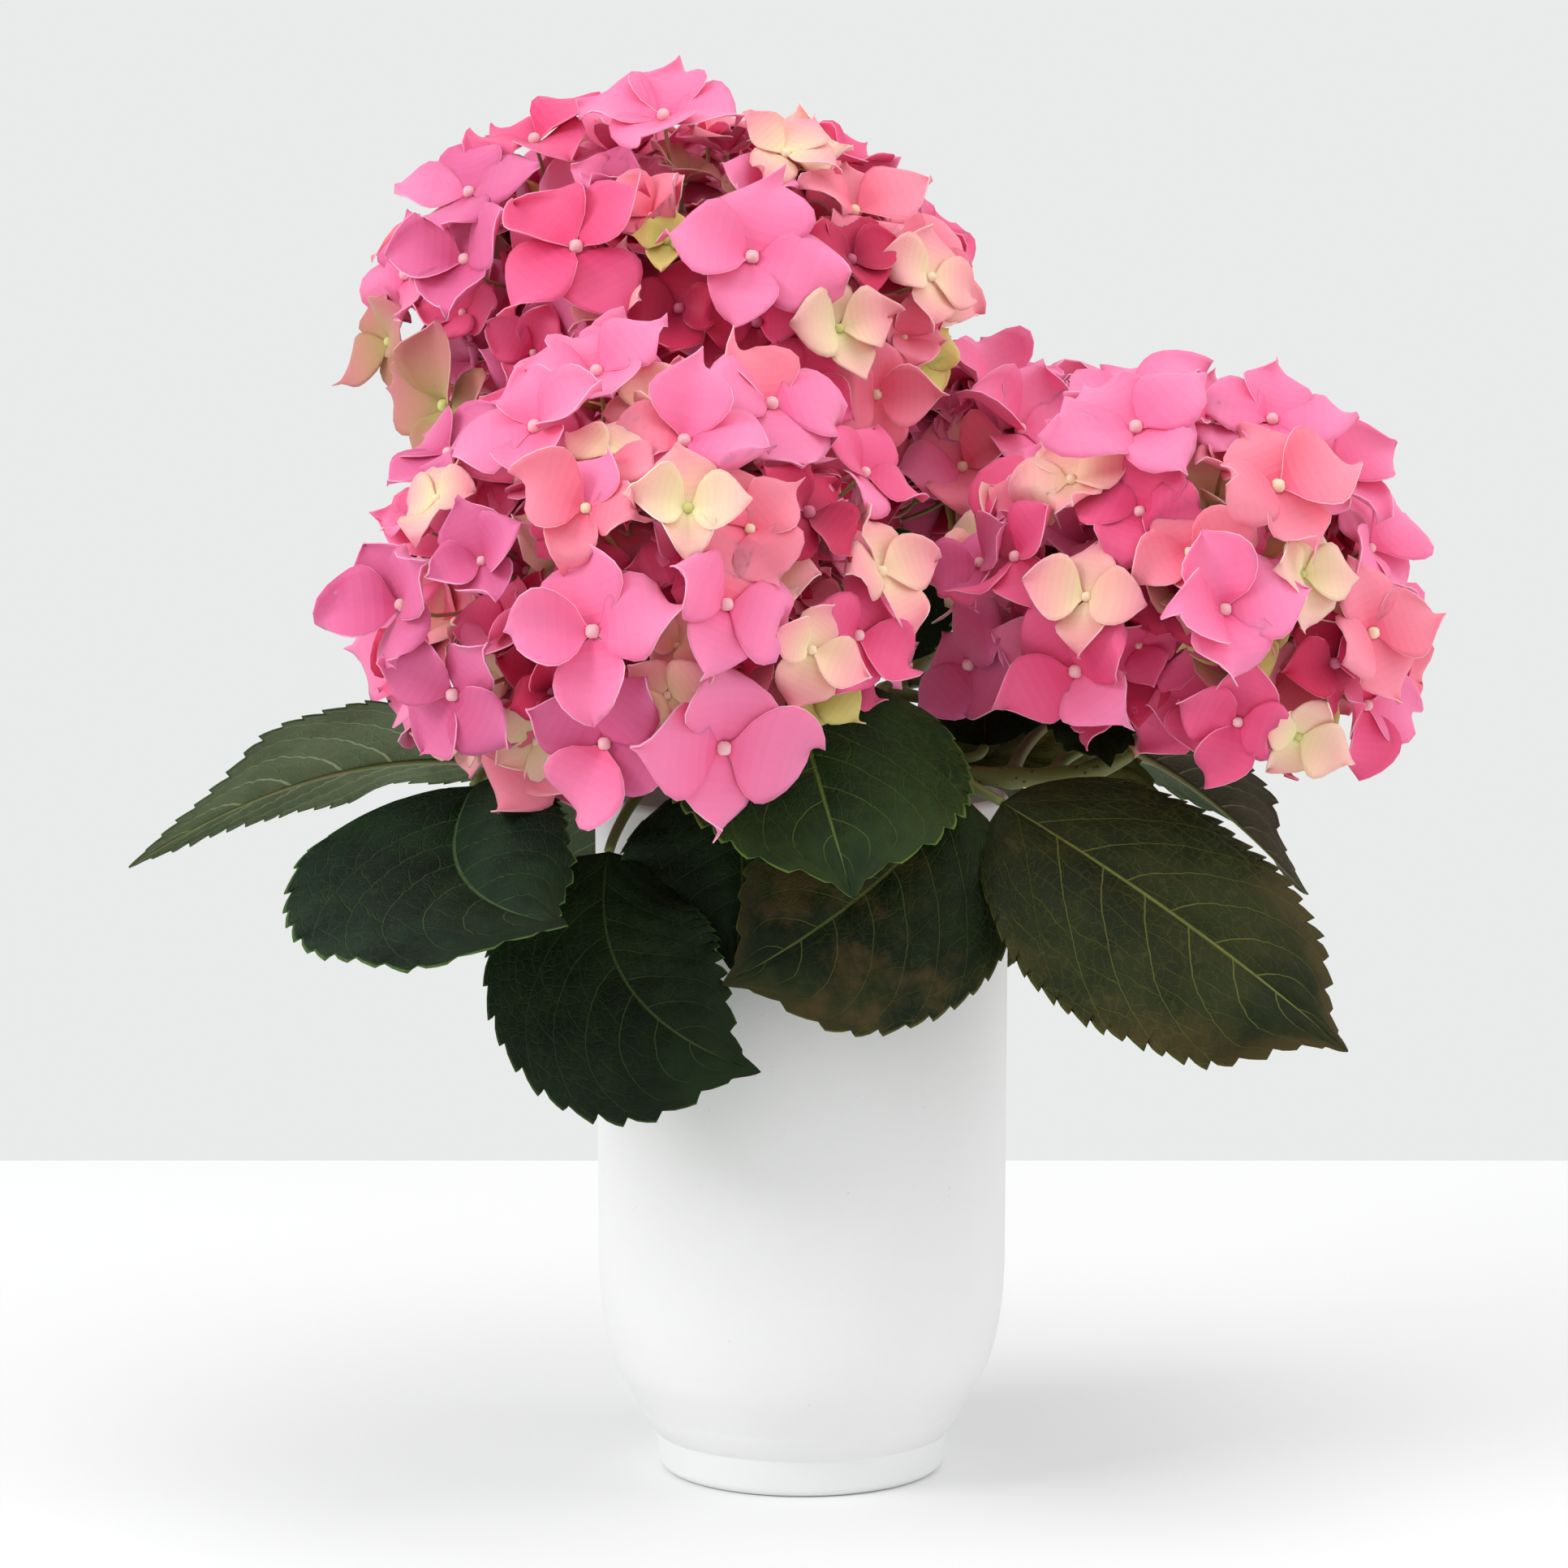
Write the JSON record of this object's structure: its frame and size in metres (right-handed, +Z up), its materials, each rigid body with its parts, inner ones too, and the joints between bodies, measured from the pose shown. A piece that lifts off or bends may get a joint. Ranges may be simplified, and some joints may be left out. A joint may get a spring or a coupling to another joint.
{
  "type": "potted hydrangea shrub",
  "caption": "Small flowering shrub with domed pink flower heads on arching canes and broad toothed leaves, growing in a tall round white pot with a low foot.",
  "frame": {"origin": "centre of the pot's flat underside, on the surface that it stands on", "axes": "+Z up along the pot's axis, -Y towards the front, where the large front bloom hangs over the rim, +X to the right as seen from the front"},
  "size_m": [0.4202, 0.3158, 0.4646],
  "materials": {
    "pot": "matte white unglazed",
    "soil": "loose damp potting mix",
    "bark": "rough woody crown",
    "cane": "green stem with fine brown specks",
    "petal": "soft matte petals",
    "leaf": "satin veined leaf"
  },
  "bodies": {
    "root": {"bloom_front": "petal", "bloom_rear": "petal", "bloom_right": "petal", "bloom_top": "petal", "cane_front": "cane", "cane_rear": "cane", "cane_right": "cane", "cane_top": "cane", "leaf_back": "leaf", "leaf_back_left": "leaf", "leaf_back_right": "leaf", "leaf_back_upper": "leaf", "leaf_far_left": "leaf", "leaf_front": "leaf", "leaf_front_inner": "leaf", "leaf_left": "leaf", "leaf_left_upper": "leaf", "leaf_low_back_left": "leaf", "leaf_low_back_right": "leaf", "leaf_low_front": "leaf", "leaf_low_left": "leaf", "leaf_middle": "leaf", "leaf_right": "leaf", "leaf_right_back": "leaf", "leaf_right_inner": "leaf", "leaf_right_low_back": "leaf", "leaf_right_rolled": "leaf", "leaf_right_side": "leaf", "leaf_right_under": "leaf", "pot": "pot", "soil": "soil", "trunk": "bark"}
  },
  "joints": []
}
